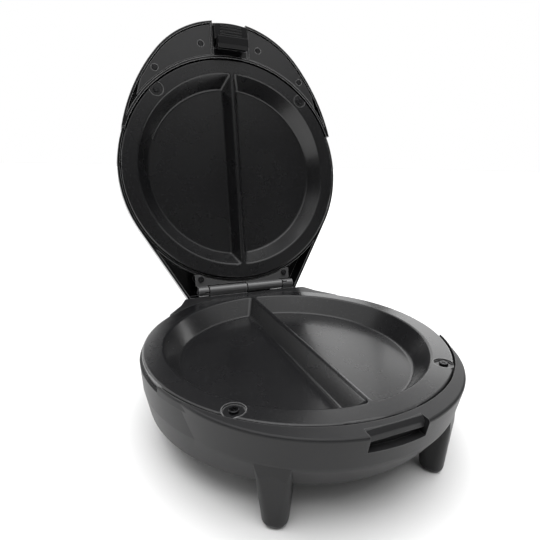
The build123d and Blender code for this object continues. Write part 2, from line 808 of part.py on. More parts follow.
def make_lid_shell():
    outside = lid_body(0, lid_rim_z) + make_tail() + make_handle()
    ring = tube(lid_outer_radius, lid_inner_radius, lid_front_rim_z, lid_rim_z + 1)
    shell = outside + (ring & front_wedge(0, 200))
    shell -= lid_body(lid_wall, handle_low - 5)
    core = rod(lid_outer_radius, 0, 200)
    shell -= plate_prism(tail_outline(lid_wall), lid_rim_z - 1, tail_top_z - lid_wall) - core
    roof = handle_top - lid_wall
    pocket = handle_prism(lid_wall, handle_low - 1, roof) - core
    shell -= pocket
    flange_back = upper_plate_z + flange_thickness + 1
    for post in plate_bosses(upper_screw_radius, upper_screw_angle, flange_back, lid_shoulder_z + 4):
        shell += post & lid_body(0, 0)
    for x, y in cover_screw_places:
        for side in (-1, 1):
            shell += rod(cover_boss_radius, upper_plate_z + cover_thickness, roof + 1, side * x, y)
            shell -= rod(screw_pilot, 0, roof - 1, side * x, y)
    for side in (-1, 1):
        near, far = sorted((side * bay_half_width, side * (bay_half_width + bay_rib)))
        shell += block(near, far, -143.5, -111, upper_plate_z, roof + 1)
        x, y = on_circle(upper_screw_radius, side * upper_screw_angle)
        shell -= rod(screw_pilot, 0, upper_plate_z + 16, x, y)
        x, y = side * lid_bracket_screw[0], lid_bracket_screw[1]
        shell += rod(boss_radius, hinge_z + 2.6 + leaf_thickness, tail_top_z - 1, x, y)
        shell -= rod(screw_pilot, 0, 80, x, y)
    shell += block(-hook_half - 3, hook_half + 3, hook_rear_y - 2, 110,
                   upper_plate_z - hook_foot_high - 2.6, upper_plate_z - hook_foot_high - 0.4)
    bay_floor = block(-bay_half_width - 0.5, bay_half_width + 0.5, hook_inner_y + 0.5, -105,
                      upper_plate_z + 0.5, upper_plate_z + 2.5)
    shell += bay_floor - rod(lid_inner_radius + 1.1, 0, 200)
    shell -= cross_rod(latch_bore_radius, -25, 25, latch_pin_y, latch_pin_z)
    shell -= block(-bay_half_width, bay_half_width, -150, -140, 0, upper_plate_z + 8)
    for x, y in lamp_places():
        shell -= rod(3.6, 85, 120, x, y)
    return one_solid(shell)


def make_handle_cover():
    """The right-hand cover under the handle."""
    low, high = upper_plate_z, upper_plate_z + cover_thickness
    cover = handle_prism(lid_wall + clearance, low, high)
    tail_end = block(60, 150, -95, 50, low - 1, high + 1)
    cover -= tail_end - rod(cover_tail_radius, low - 2, high + 2, 0, cover_tail_y)
    cover -= rod(cover_inner_radius, low - 1, high + 1)
    cover &= block(bay_half_width + bay_rib + 0.2, 150, -200, -50, low, high)
    cover = one_solid(cover)
    cover = fillet(cover.edges().filter_by(Axis.Z), cover_corner_round)
    cover = chamfer(cover.edges().group_by(Axis.Z)[0], cover_edge_chamfer)
    for x, y in cover_screw_places:
        cover -= rod(screw_pilot, 0, 200, x, y)
        cover -= rod(screw_head + 0.3, 0, low + 0.9, x, y)
    return one_solid(cover)


def make_handle_cover_screws():
    return [Pos(side * x, y, upper_plate_z + 0.9) * Rot(180, 0, 0) * screw(9)
            for x, y in cover_screw_places for side in (-1, 1)]


def make_lamp_lens(place):
    x, y = place
    top = dome_point(hypot(x, y), 0)
    lens = rod(3.5, top - 3.2, top + 1.0, x, y) + rod(4.4, top - 4.2, top - 3.1, x, y)
    return fillet(lens.edges().filter_by(GeomType.CIRCLE).sort_by(Axis.Z)[-1], 0.8)


def make_neon_lamps():
    lamps = []
    for x, y in lamp_places():
        lamps.append(rod(2.2, 82.5, 90.2, x, y) + Pos(x, y, 90.2) * Sphere(2.2))
    return lamps


def make_lamp_holder():
    holder = block(-14, 14, -100, -94.2, 80.5, 82.5)
    for x, y in lamp_places():
        holder += tube(3.0, 2.3, 82.4, 86, x, y)
    return one_solid(holder)


def make_lid_wiring():
    """Wires from the upper element to the connector in the lid's tail."""
    wires = []
    for side in (-1, 1):
        x, y = element_pin(side)
        points = [(x, y, 89.5), (side * 27, 72, 88), (side * 22, 87, 84), (side * 4, 97.9, 80)]
        wires.append(wire(points, (0, 1, 0), (0, 1, 0)))
    return wires


def make_lid_connector():
    """Two-way connector where the lid's wires meet the lead from the base."""
    body = block(-8, 8, 98, 107, 77, 83)
    for x in (-4, 4):
        body -= Pos(x, 0, 80) * Rot(-90, 0, 0) * rod(1.6, 105.5, 120)
    return one_solid(body)


# ---- latch ----
def make_latch_lever():
    """Press tab and hook in one piece on a cross pin in the handle."""
    y, z = latch_pin_y, latch_pin_z
    tab = side_prism([(-150, tab_face_z), (hook_outer_y, tab_face_z), (hook_outer_y, z),
                      (y, z + latch_hub_radius), (tab_top_y, tab_top_z), (-150, tab_top_z)],
                     tab_half_width)
    front = turned([(0, tab_face_z), (tab_face_radius, tab_face_z), (tab_top_radius, tab_top_z),
                    (tab_top_radius, tab_top_z + 10), (0, tab_top_z + 10)])
    tab &= Pos(0, handle_front_y, 0) * front
    tab = fillet([e for e in tab.edges().group_by(Axis.Z)[0] if e.center().Y < rib_first_y], 0.8)
    inner = tab_half_width - tab_wall
    tab -= block(-inner, inner, tab_hollow_y, hook_outer_y - 3, tab_face_z + tab_wall, 90)
    tab += rod(spring_radius + 0.8, tab_face_z + 1, spring_seat_z, 0, spring_y)
    tab -= rod(spring_radius + 0.8, spring_seat_z, 90, 0, spring_y)
    for rib in range(4):
        rib_y = rib_first_y + rib * rib_spacing
        tab += block(-10.5, 10.5, rib_y - 0.55, rib_y + 0.55, tab_face_z - 0.5, tab_face_z + 0.5)
    hook = side_prism([(hook_outer_y, z), (hook_inner_y, z), (hook_inner_y, barb_top),
                       (barb_tip_y, barb_top), (barb_tip_y, barb_top - 1.2),
                       (hook_inner_y + 1.5, hook_low), (hook_outer_y, hook_low)], hook_half_width)
    hook = fillet([e for e in hook.edges().group_by(Axis.Z)[0] if e.center().Y < hook_inner_y], 0.6)
    lever = tab + hook + cross_rod(latch_hub_radius, -tab_half_width, tab_half_width, y, z)
    lever -= cross_rod(latch_bore_radius, -30, 30, y, z)
    return one_solid(lever)


def coil_gap(path):
    """Least gap between the coil's neighbouring turns, measured on points along it."""
    points = [path @ (step / 200) for step in range(201)]
    apart = 200 // spring_turns - 12
    least = min((points[i] - points[j]).length for i in range(201) for j in range(i + apart, 201))
    return least - 2 * spring_wire


def make_latch_spring():
    """Compression coil between the tab and the roof of the handle."""
    low = spring_seat_z + spring_wire + 0.1
    high = handle_top - lid_wall - spring_wire - 0.1
    path = Helix((high - low) / spring_turns, high - low, spring_radius)
    section = Plane(origin=path @ 0, z_dir=path % 0) * Circle(spring_wire)
    print("latch spring: least gap to itself", round(coil_gap(path), 2), "mm")
    return Pos(0, spring_y, low) * sweep(section, path=path)


# ---- assembly ----
def base_pieces():
    pieces = {
        "base_housing": make_base_housing(),
        "bottom_cover": make_bottom_cover(),
        "bottom_cover_screws": group(make_bottom_cover_screws()),
        "lower_cooking_plate": Pos(0, 0, lower_plate_z) * cooking_plate(lower_screw_radius, lower_screw_angle),
        "lower_plate_screws": group([Pos(0, 0, lower_plate_z) * s
                                     for s in plate_screws(lower_screw_radius, lower_screw_angle)]),
        "lower_heating_element": Pos(0, 0, lower_plate_z) * heating_element(),
        "lower_element_clips": group([Pos(0, 0, lower_plate_z) * clip for clip in element_clips()]),
        "lower_reflector": Pos(0, 0, lower_plate_z) * reflector(),
        "thermostat": Pos(0, 0, lower_plate_z) * make_thermostat(),
        "thermal_fuse": Pos(0, 0, lower_plate_z) * make_thermal_fuse(),
        "terminal_block": make_terminal_block(),
        "base_wiring": group(make_base_wiring()),
        "cord_gland": make_cord_gland(),
        "latch_strike": make_latch_strike(),
        "base_hinge_bracket": make_base_hinge_bracket(),
        "base_hinge_screws": group(make_base_hinge_screws()),
        "hinge_pin": make_hinge_pin(),
    }
    names = ("foot_pad_front_left", "foot_pad_front_right", "foot_pad_rear_left", "foot_pad_rear_right")
    pad = make_foot_pad()
    for name, (x, y) in zip(names, leg_places()):
        pieces[name] = Pos(x, y, 0) * pad
    return pieces


def lid_pieces():
    cover = make_handle_cover()
    face = upper_plate_z
    plate_fixings = plate_screws(upper_screw_radius, upper_screw_angle)
    return {
        "lid_shell": make_lid_shell(),
        "handle_cover_right": cover,
        "handle_cover_left": mirror(cover, about=Plane.YZ),
        "handle_cover_screws": group(make_handle_cover_screws()),
        "upper_cooking_plate": turn_over(cooking_plate(upper_screw_radius, upper_screw_angle), face),
        "upper_plate_screws": group([turn_over(screw_piece, face) for screw_piece in plate_fixings]),
        "upper_heating_element": turn_over(heating_element(), face),
        "upper_element_clips": group([turn_over(clip, face) for clip in element_clips()]),
        "upper_reflector": turn_over(reflector(), face),
        "lid_hinge_bracket": make_lid_hinge_bracket(),
        "lid_hinge_screws": group(make_lid_hinge_screws()),
        "power_lamp_lens": make_lamp_lens(lamp_places()[0]),
        "ready_lamp_lens": make_lamp_lens(lamp_places()[1]),
        "neon_lamps": group(make_neon_lamps()),
        "lamp_holder": make_lamp_holder(),
        "lid_wiring": group(make_lid_wiring()),
        "lid_connector": make_lid_connector(),
        "latch_pin": cross_rod(latch_pin_radius, -18.4, 18.4, latch_pin_y, latch_pin_z),
        "latch_spring": make_latch_spring(),
        "latch_lever": make_latch_lever(),
    }


def opened(shape):
    """The lid swung back about the hinge pin to its stop."""
    return Pos(0, hinge_y, hinge_z) * Rot(-open_angle, 0, 0) * Pos(0, -hinge_y, -hinge_z) * shape


def opened_point(y, z):
    a = radians(open_angle)
    dy, dz = y - hinge_y, z - hinge_z
    return hinge_y + dy * cos(a) + dz * sin(a), hinge_z - dy * sin(a) + dz * cos(a)


def main():
    os.makedirs("parts", exist_ok=True)
    pieces = base_pieces()
    for name, shape in lid_pieces().items():
        pieces[name] = opened(shape)
    boxes = [shape.bounding_box() for shape in pieces.values()]
    front = min(box.min.Y for box in boxes)
    rear = max(box.max.Y for box in boxes)
    shift = -(front + rear) / 2
    for name, shape in pieces.items():
        export_step(Pos(0, shift, 0) * shape, "parts/" + name + ".step")
    print("depth", round(rear - front, 2), "shift along Y", round(shift, 4))
    print("height", round(max(box.max.Z for box in boxes), 2))
    print("hinge axis y, z", round(hinge_y + shift, 4), round(hinge_z, 4))
    y, z = opened_point(latch_pin_y, latch_pin_z)
    print("latch pin y, z", round(y + shift, 4), round(z, 4))


main()
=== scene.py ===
"""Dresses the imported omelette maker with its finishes, studio light and camera."""

import logging
import math
from dataclasses import dataclass
from enum import Enum

import bpy
from mathutils import Euler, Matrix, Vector

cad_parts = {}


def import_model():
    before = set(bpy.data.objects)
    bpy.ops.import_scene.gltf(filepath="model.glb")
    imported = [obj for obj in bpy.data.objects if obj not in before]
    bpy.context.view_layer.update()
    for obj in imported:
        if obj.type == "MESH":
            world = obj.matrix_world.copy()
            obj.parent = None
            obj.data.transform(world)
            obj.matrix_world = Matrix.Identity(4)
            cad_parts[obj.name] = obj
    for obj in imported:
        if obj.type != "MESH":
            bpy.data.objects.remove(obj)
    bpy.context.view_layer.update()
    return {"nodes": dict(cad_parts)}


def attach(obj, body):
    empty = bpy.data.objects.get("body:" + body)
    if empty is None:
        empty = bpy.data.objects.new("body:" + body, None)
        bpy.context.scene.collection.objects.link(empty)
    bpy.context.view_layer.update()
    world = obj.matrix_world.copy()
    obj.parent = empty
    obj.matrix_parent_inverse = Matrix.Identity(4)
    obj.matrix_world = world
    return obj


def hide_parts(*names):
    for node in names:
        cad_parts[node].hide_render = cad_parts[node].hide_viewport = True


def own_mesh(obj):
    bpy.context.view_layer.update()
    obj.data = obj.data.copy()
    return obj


LOG = logging.getLogger("omelette_maker")

Colour = tuple[float, float, float]
Place = tuple[float, float, float]

PHOTO_PIXELS = 540
SENSOR_MM = 36.0
WHITE = (1.0, 1.0, 1.0, 1.0)

GRAIN_DETAIL = 2.0          # finer layers in the moulded grain
MARK_DETAIL = 5.0           # finer layers in the handling marks
MARK_FADE = 0.62            # share of its strength that each finer layer of the marks keeps
MARK_MIDDLE = 0.5           # value of the marks that changes nothing
MARK_CELLS = 14.0           # cells per metre of the marks in the roughness
TONE_CELLS = 23.0           # cells per metre of the marks in the colour
TONE_SPREAD = (0.86, 1.14)  # darkest and lightest tone, as shares of the colour
FLECK_REACH = 0.28          # reach of a fleck from its middle, as a share of a cell
EDGE_TURN = (0.02, 0.2)     # 1 less the cosine of the turn at which the painted edge highlight starts and ends
EDGE_SAMPLES = 6            # samples of the softened normal that finds the edges
NORMAL_SAMPLES = 4          # samples of the softened normal that catches the light
HIGHLIGHT_GAIN = 2.0           # what the colour is multiplied by for the painted edge highlight
HIGHLIGHT_LIFT = 0.32          # what is then added to it
COAT_ROUGHNESS = 0.12


class Effect(Enum):
    """Shared surface effects, each a node group built once."""

    GRAIN = "moulded_grain"
    FLECKS = "coating_flecks"
    HANDLING = "handling_marks"
    # the edge effect paints a highlight into the colour along edges
    EDGES = "painted_edge_highlight"


class Graph:
    """Adds and links nodes in one node tree."""

    def __init__(self, tree: bpy.types.NodeTree) -> None:
        """Starts on an existing tree.

        Args:
            tree: The node tree of a material, world or group.
        """
        self.tree = tree

    def add(self, kind: str, **settings: object) -> bpy.types.Node:
        """Adds a node.

        Args:
            kind: The node's type name.
            **settings: Attributes set on the node, such as operation.

        Returns:
            The new node.
        """
        node = self.tree.nodes.new(kind)
        for name, value in settings.items():
            setattr(node, name, value)
        return node

    def link(self, source: bpy.types.NodeSocket, target: bpy.types.NodeSocket) -> None:
        """Links an output socket to an input socket."""
        self.tree.links.new(source, target)

    def feed(self, value: object, target: bpy.types.NodeSocket) -> None:
        """Feeds an input from a socket, or sets it to a plain value.

        Args:
            value: A socket, a number or a colour.
            target: The input socket.
        """
        if isinstance(value, bpy.types.NodeSocket):
            self.link(value, target)
        else:
            target.default_value = value

    def calculate(self, operation: str, first: object, second: object) -> bpy.types.NodeSocket:
        """Adds a Math node.

        Args:
            operation: The Math node's operation.
            first: A socket or a number.
            second: A socket or a number.

        Returns:
            The node's output socket.
        """
        node = self.add("ShaderNodeMath", operation=operation)
        for socket, value in zip(node.inputs, (first, second)):
            self.feed(value, socket)
        return node.outputs[0]

    def mix(self, share: bpy.types.NodeSocket, first: object, second: object) -> bpy.types.NodeSocket:
        """Mixes two colours.

        Args:
            share: The socket that says how much of the second colour shows.
            first: A socket or a colour.
            second: A socket or a colour.

        Returns:
            The mixed colour's output socket.
        """
        node = self.add("ShaderNodeMix", data_type="RGBA", blend_type="MIX")
        self.link(share, node.inputs["Factor"])
        self.feed(first, node.inputs["A"])
        self.feed(second, node.inputs["B"])
        return node.outputs["Result"]

    def ramp(self, value: bpy.types.NodeSocket, low: float, high: float) -> bpy.types.NodeSocket:
        """Stretches a value so that low becomes 0 and high becomes 1.

        Args:
            value: The socket to stretch.
            low: The value that becomes 0.
            high: The value that becomes 1.

        Returns:
            The clamped output socket.
        """
        node = self.add("ShaderNodeMapRange", clamp=True)
        self.link(value, node.inputs["Value"])
        node.inputs["From Min"].default_value = low
        node.inputs["From Max"].default_value = high
        return node.outputs["Result"]


class EffectLibrary:
    """Builds each shared effect's node group once and places it in materials."""

    def __init__(self) -> None:
        """Builds the groups."""
        self.groups = {
            Effect.GRAIN: self._grain(),
            Effect.FLECKS: self._flecks(),
            Effect.HANDLING: self._handling(),
            Effect.EDGES: self._edges(),
        }

    @staticmethod
    def _start(effect: Effect, inputs: dict[str, float],
               outputs: tuple[str, ...]) -> tuple[Graph, bpy.types.Node, bpy.types.Node]:
        """Makes an empty group with its sockets.

        Args:
            effect: Which effect the group is for.
            inputs: Input names with their usual values.
            outputs: Output names.

        Returns:
            The group's graph, its input node and its output node.
        """
        tree = bpy.data.node_groups.new(effect.value, "ShaderNodeTree")
        for name, value in inputs.items():
            socket = tree.interface.new_socket(name=name, in_out="INPUT", socket_type="NodeSocketFloat")
            socket.default_value = value
        for name in outputs:
            tree.interface.new_socket(name=name, in_out="OUTPUT", socket_type="NodeSocketFloat")
        graph = Graph(tree)
        return graph, graph.add("NodeGroupInput"), graph.add("NodeGroupOutput")

    @staticmethod
    def _pattern(graph: Graph, entry: bpy.types.Node, kind: str) -> bpy.types.Node:
        """Adds a pattern that is fixed to the piece, as fine as the group's cells input says.

        Args:
            graph: The group's graph.
            entry: The group's input node.
            kind: The pattern node's type name.

        Returns:
            The pattern node.
        """
        place = graph.add("ShaderNodeTexCoord")
        pattern = graph.add(kind)
        graph.link(place.outputs["Object"], pattern.inputs["Vector"])
        graph.link(entry.outputs["Cells per metre"], pattern.inputs["Scale"])
        return pattern

    def _grain(self) -> bpy.types.NodeTree:
        """Makes the fine eroded texture of a moulding tool, as a height.

        Returns:
            The group's node tree.
        """
        graph, entry, leave = self._start(Effect.GRAIN, {"Cells per metre": 1800.0}, ("Height",))
        noise = self._pattern(graph, entry, "ShaderNodeTexNoise")
        noise.inputs["Detail"].default_value = GRAIN_DETAIL
        graph.link(noise.outputs["Fac"], leave.inputs["Height"])
        return graph.tree

    def _flecks(self) -> bpy.types.NodeTree:
        """Makes the small bright flecks in a coating, as a mask.

        Returns:
            The group's node tree.
        """
        graph, entry, leave = self._start(Effect.FLECKS, {"Cells per metre": 900.0, "Share": 0.2}, ("Mask",))
        cells = self._pattern(graph, entry, "ShaderNodeTexVoronoi")
        near = graph.calculate("LESS_THAN", cells.outputs["Distance"], FLECK_REACH)
        tone = graph.add("ShaderNodeSeparateColor")
        graph.link(cells.outputs["Color"], tone.inputs["Color"])
        chosen = graph.calculate("LESS_THAN", tone.outputs["Red"], entry.outputs["Share"])
        bright = graph.calculate("MULTIPLY", near, chosen)
        graph.link(graph.calculate("MULTIPLY", bright, tone.outputs["Green"]), leave.inputs["Mask"])
        return graph.tree

    def _handling(self) -> bpy.types.NodeTree:
        """Makes the broad soft marks left by wiping and handling, as a value about the middle one.

        Returns:
            The group's node tree.
        """
        graph, entry, leave = self._start(Effect.HANDLING, {"Cells per metre": MARK_CELLS}, ("Value",))
        noise = self._pattern(graph, entry, "ShaderNodeTexNoise")
        noise.inputs["Detail"].default_value = MARK_DETAIL
        noise.inputs["Roughness"].default_value = MARK_FADE
        graph.link(noise.outputs["Fac"], leave.inputs["Value"])
        return graph.tree

    def _edges(self) -> bpy.types.NodeTree:
        """Makes the painted highlight along edges, as a mask found where a softened normal leaves the real
        one.

        Returns:
            The group's node tree.
        """
        graph, entry, leave = self._start(Effect.EDGES, {"Radius": 0.0006, "Strength": 1.0}, ("Mask",))
        soft = graph.add("ShaderNodeBevel", samples=EDGE_SAMPLES)
        graph.link(entry.outputs["Radius"], soft.inputs["Radius"])
        shape = graph.add("ShaderNodeNewGeometry")
        match = graph.add("ShaderNodeVectorMath", operation="DOT_PRODUCT")
        graph.link(soft.outputs["Normal"], match.inputs[0])
        graph.link(shape.outputs["Normal"], match.inputs[1])
        apart = graph.calculate("SUBTRACT", 1.0, match.outputs["Value"])
        sharp = graph.ramp(apart, *EDGE_TURN)
        graph.link(graph.calculate("MULTIPLY", sharp, entry.outputs["Strength"]), leave.inputs["Mask"])
        return graph.tree

    def place(self, graph: Graph, effect: Effect, **values: float) -> bpy.types.Node:
        """Places an effect's group in a material.

        Args:
            graph: The material's graph.
            effect: Which effect to place.
            **values: Input values, with _ for a space in the input's name.

        Returns:
            The group node.
        """
        node = graph.add("ShaderNodeGroup", node_tree=self.groups[effect])
        for name, value in values.items():
            node.inputs[name.replace("_", " ").capitalize()].default_value = value
        return node


@dataclass(frozen=True)
class Finish:
    """One surface finish and how it is made from the shared effects.

    Attributes:
        name: The material's name.
        colour: Base colour.
        roughness: Middle roughness.
        metallic: 1 for bare metal.
        coat: Weight of a clear coat.
        grain_cells: Cells per metre of the moulded grain.
        grain_depth: Depth of the grain in metres.
        fleck_share: Share of cells that hold a fleck.
        fleck_colour: Colour of the flecks.
        fleck_cells: Cells per metre of the flecks.
        handling: How far handling marks move the roughness.
        painted_edge_highlight: How far the painted highlight lightens the colour on edges.
        gloss: Specular level of the surface, 0.5 for ordinary plastic.
        edge_radius: Radius in metres of the edges that get the painted highlight.
        soft_normal: Whether the edges also catch the light as if rounded.
    """

    name: str
    colour: Colour
    roughness: float
    metallic: float = 0.0
    coat: float = 0.0
    grain_cells: float = 1800.0
    grain_depth: float = 0.0
    fleck_share: float = 0.0
    fleck_colour: Colour = (0.2, 0.2, 0.2)
    fleck_cells: float = 900.0
    handling: float = 0.08
    painted_edge_highlight: float = 0.0
    gloss: float = 0.5
    edge_radius: float = 0.0005
    soft_normal: bool = False

    def build(self, effects: EffectLibrary) -> bpy.types.Material:
        """Makes the material.

        Args:
            effects: The shared effects.

        Returns:
            The new material.
        """
        material = bpy.data.materials.new(self.name)
        material.use_nodes = True
        graph = Graph(material.node_tree)
        shader = material.node_tree.nodes["Principled BSDF"]
        shader.inputs["Metallic"].default_value = self.metallic
        shader.inputs["Coat Weight"].default_value = self.coat
        shader.inputs["Coat Roughness"].default_value = COAT_ROUGHNESS
        shader.inputs["Specular IOR Level"].default_value = self.gloss
        self._colour(graph, effects, shader)
        self._roughness(graph, effects, shader)
        self._relief(graph, effects, shader)
        return material

    def _shade(self, gain: float, lift: float = 0.0) -> tuple[float, ...]:
        """Multiplies and lifts the base colour, with full opacity."""
        return (*[min(1.0, c * gain + lift) for c in self.colour], 1.0)

    def _colour(self, graph: Graph, effects: EffectLibrary, shader: bpy.types.Node) -> None:
        """Mixes the base colour with marks, flecks and a painted highlight along the edges.

        Args:
            graph: The material's graph.
            effects: The shared effects.
            shader: The material's shader.
        """
        marks = effects.place(graph, Effect.HANDLING, cells_per_metre=TONE_CELLS)
        darker, lighter = (self._shade(gain) for gain in TONE_SPREAD)
        result = graph.mix(marks.outputs["Value"], darker, lighter)
        if self.fleck_share:
            flecks = effects.place(graph, Effect.FLECKS, cells_per_metre=self.fleck_cells,
                                   share=self.fleck_share)
            result = graph.mix(flecks.outputs["Mask"], result, (*self.fleck_colour, 1.0))
        # painted highlight: edges are lightened in the colour to stand in for the light they catch
        if self.painted_edge_highlight:
            edges = effects.place(graph, Effect.EDGES, radius=self.edge_radius, strength=self.painted_edge_highlight)
            result = graph.mix(edges.outputs["Mask"], result, self._shade(HIGHLIGHT_GAIN, HIGHLIGHT_LIFT))
        graph.link(result, shader.inputs["Base Color"])

    def _roughness(self, graph: Graph, effects: EffectLibrary, shader: bpy.types.Node) -> None:
        """Moves the roughness with the handling marks.

        Args:
            graph: The material's graph.
            effects: The shared effects.
            shader: The material's shader.
        """
        marks = effects.place(graph, Effect.HANDLING, cells_per_metre=MARK_CELLS)
        centred = graph.calculate("SUBTRACT", marks.outputs["Value"], MARK_MIDDLE)
        moved = graph.calculate("MULTIPLY", centred, self.handling / MARK_MIDDLE)
        graph.link(graph.calculate("ADD", moved, self.roughness), shader.inputs["Roughness"])

    def _relief(self, graph: Graph, effects: EffectLibrary, shader: bpy.types.Node) -> None:
        """Adds the moulded grain as a bump and softens the edges.

        Args:
            graph: The material's graph.
            effects: The shared effects.
            shader: The material's shader.
        """
        grain = effects.place(graph, Effect.GRAIN, cells_per_metre=self.grain_cells)
        bump = graph.add("ShaderNodeBump")
        bump.inputs["Strength"].default_value = 1.0
        bump.inputs["Distance"].default_value = self.grain_depth
        graph.link(grain.outputs["Height"], bump.inputs["Height"])
        if self.soft_normal:
            soft = graph.add("ShaderNodeBevel", samples=NORMAL_SAMPLES)
            soft.inputs["Radius"].default_value = self.edge_radius
            graph.link(soft.outputs["Normal"], bump.inputs["Normal"])
        graph.link(bump.outputs["Normal"], shader.inputs["Normal"])


# the edge strengths below set how far each finish gets a painted highlight along its edges
BASE_PLASTIC = Finish("charcoal_moulding", (0.010, 0.010, 0.0105), 0.40, grain_depth=0.00005, painted_edge_highlight=0.15,
                      gloss=0.28, edge_radius=0.0007)
LID_PLASTIC = Finish("black_moulding", (0.003, 0.003, 0.0034), 0.2, grain_depth=0.00001, painted_edge_highlight=0.8,
                     gloss=0.4, edge_radius=0.0011, soft_normal=True)
COVER_PLASTIC = Finish("black_cover", (0.017, 0.017, 0.0175), 0.22, grain_depth=0.00002, painted_edge_highlight=1.0,
                       gloss=0.5, edge_radius=0.0012, soft_normal=True)
LATCH_PLASTIC = Finish("black_latch", (0.003, 0.003, 0.0034), 0.24, grain_depth=0.00002, painted_edge_highlight=0.3,
                       gloss=0.2, edge_radius=0.0005, soft_normal=True)
NONSTICK = Finish("nonstick_coating", (0.0050, 0.0050, 0.0055), 0.27, coat=0.2, grain_cells=700.0,
                  grain_depth=0.00003, fleck_share=0.3, fleck_colour=(0.03, 0.03, 0.032), painted_edge_highlight=0.4,
                  edge_radius=0.0015)
HINGE_STEEL = Finish("gloss_black_steel", (0.06, 0.06, 0.061), 0.16, coat=1.0, handling=0.04, painted_edge_highlight=0.6,
                     edge_radius=0.0005)
SCREW_STEEL = Finish("darkened_screw", (0.04, 0.04, 0.042), 0.22, metallic=1.0, painted_edge_highlight=0.5,
                     edge_radius=0.0004)
BLACK_SCREW = Finish("black_screw", (0.018, 0.018, 0.019), 0.22, metallic=0.8, painted_edge_highlight=0.5,
                     edge_radius=0.0004)
PLAIN_STEEL = Finish("plain_steel", (0.48, 0.48, 0.49), 0.3, metallic=1.0)
ELEMENT_STEEL = Finish("heated_tube", (0.25, 0.23, 0.21), 0.45, metallic=1.0, handling=0.15)
REFLECTOR = Finish("pressed_aluminium", (0.72, 0.72, 0.73), 0.33, metallic=1.0)
WHITE_PLASTIC = Finish("white_plastic", (0.74, 0.72, 0.68), 0.5)
WIRE_SLEEVE = Finish("glass_sleeve", (0.7, 0.68, 0.62), 0.7, grain_depth=0.0001)
RUBBER = Finish("black_rubber", (0.016, 0.016, 0.016), 0.7, grain_depth=0.00008)
RED_LENS = Finish("red_lens", (0.42, 0.015, 0.01), 0.12, coat=0.4, handling=0.03)
GREEN_LENS = Finish("green_lens", (0.015, 0.26, 0.05), 0.12, coat=0.4, handling=0.03)
LAMP_GLASS = Finish("lamp_glass", (0.75, 0.55, 0.45), 0.1, handling=0.02)

DRESS: dict[Finish, tuple[str, ...]] = {
    BASE_PLASTIC: ("base_housing", "bottom_cover", "latch_strike"),
    LID_PLASTIC: ("lid_shell",),
    COVER_PLASTIC: ("handle_cover_left", "handle_cover_right"),
    LATCH_PLASTIC: ("latch_lever",),
    NONSTICK: ("lower_cooking_plate", "upper_cooking_plate"),
    HINGE_STEEL: ("base_hinge_bracket", "lid_hinge_bracket"),
    SCREW_STEEL: ("lower_plate_screws", "upper_plate_screws", "hinge_pin", "latch_pin"),
    BLACK_SCREW: ("handle_cover_screws", "bottom_cover_screws", "lid_hinge_screws", "base_hinge_screws"),
    PLAIN_STEEL: ("latch_spring", "lower_element_clips", "upper_element_clips", "thermostat", "thermal_fuse"),
    ELEMENT_STEEL: ("lower_heating_element", "upper_heating_element"),
    REFLECTOR: ("lower_reflector", "upper_reflector"),
    WHITE_PLASTIC: ("terminal_block", "lid_connector", "lamp_holder"),
    WIRE_SLEEVE: ("base_wiring", "lid_wiring"),
    RUBBER: ("cord_gland", "foot_pad_front_left", "foot_pad_front_right", "foot_pad_rear_left",
             "foot_pad_rear_right"),
    RED_LENS: ("power_lamp_lens",),
    GREEN_LENS: ("ready_lamp_lens",),
    LAMP_GLASS: ("neon_lamps",),
}


@dataclass
class Dresser:
    """Gives every carried-over node its finish.

    Attributes:
        nodes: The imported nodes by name.
        effects: The shared effects.
    """

    nodes: dict[str, bpy.types.Object]
    effects: EffectLibrary

    def dress(self) -> None:
        """Assigns each finish to its nodes."""
        for finish, names in DRESS.items():
            material = finish.build(self.effects)
            for name in names:
                node = self.nodes[name]
                node.data.materials.clear()
                node.data.materials.append(material)
            LOG.info("%s on %d nodes", finish.name, len(names))


@dataclass(frozen=True)
class LatchSpring:
    """The latch's return spring, which shortens as the tab is pressed.

    Attributes:
        along: Direction at rest from the lever to the lid's wall, 11.6 degrees below level; not used.
        keep: Share of its length at full press; not used.
    """

    along: Place = (0.0, 0.97957525, -0.20107792)
    keep: float = 0.82

    def build(self, node: bpy.types.Object) -> None:
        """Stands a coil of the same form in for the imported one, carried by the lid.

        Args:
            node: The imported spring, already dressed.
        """
        coil = bpy.data.objects.new("latch_spring_coil", node.data.copy())
        coil.matrix_world = node.matrix_world
        bpy.context.scene.collection.objects.link(coil)
        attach(coil, "lid")
        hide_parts("latch_spring")
        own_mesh(coil)
        LOG.info("latch_spring_coil shortens with the press")


@dataclass(frozen=True)
class SoftLight:
    """A soft box, or a card that shows only as a reflection.

    Attributes:
        name: The light's name.
        at: Its place in metres.
        size: Width and height in metres.
        level: Radiance of its face.
        card: Whether it shows only in reflections.
    """

    name: str
    at: Place
    size: tuple[float, float]
    level: float
    card: bool = True


SOFT_LIGHTS = (
    SoftLight("left_box", (-1.3, 0.9, 0.35), (0.6, 0.7), 4.0, card=False),
    SoftLight("rear_card", (0.1, 1.7, 0.8), (2.4, 0.9), 1.5),
    SoftLight("right_card", (1.5, 1.0, 0.55), (0.9, 0.8), 2.2),
)


